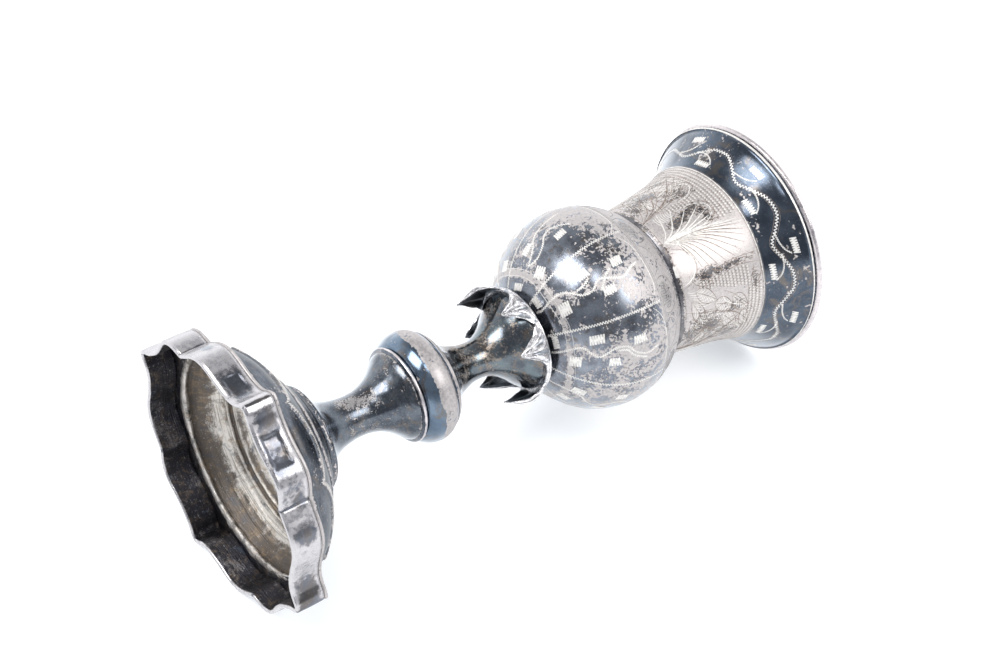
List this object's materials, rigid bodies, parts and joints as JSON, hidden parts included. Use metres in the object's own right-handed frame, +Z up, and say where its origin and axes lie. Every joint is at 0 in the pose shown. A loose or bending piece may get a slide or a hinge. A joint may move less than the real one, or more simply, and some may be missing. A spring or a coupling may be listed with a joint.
{
  "type": "footed silver goblet",
  "caption": "Open silver goblet with an engraved ball bowl, flared mouth, leaf calyx, knopped stem and a scalloped domed foot.",
  "frame": {"origin": "centre of the foot on the plane it stands on", "axes": "+Z up along the goblet's axis; the four scallop points of the foot lie on +X, +Y, -X and -Y"},
  "size_m": [0.0592, 0.0592, 0.13],
  "materials": {
    "worn_silver": "polished silver, rubbed and partly tarnished",
    "tarnished_silver": "silver under blue-black tarnish, worn through in patches",
    "pale_silver": "matt engraved silver"
  },
  "bodies": {
    "root": {"foot_wall": "worn_silver", "foot_ledge": "tarnished_silver", "foot_dome": "tarnished_silver", "lower_stem": "tarnished_silver", "knop_bead": "worn_silver", "knop": "worn_silver", "knop_collar": "worn_silver", "upper_stem": "tarnished_silver", "calyx": "worn_silver", "cup_ball": "tarnished_silver", "cup_throat": "pale_silver", "lip_moulding": "worn_silver"}
  },
  "joints": []
}
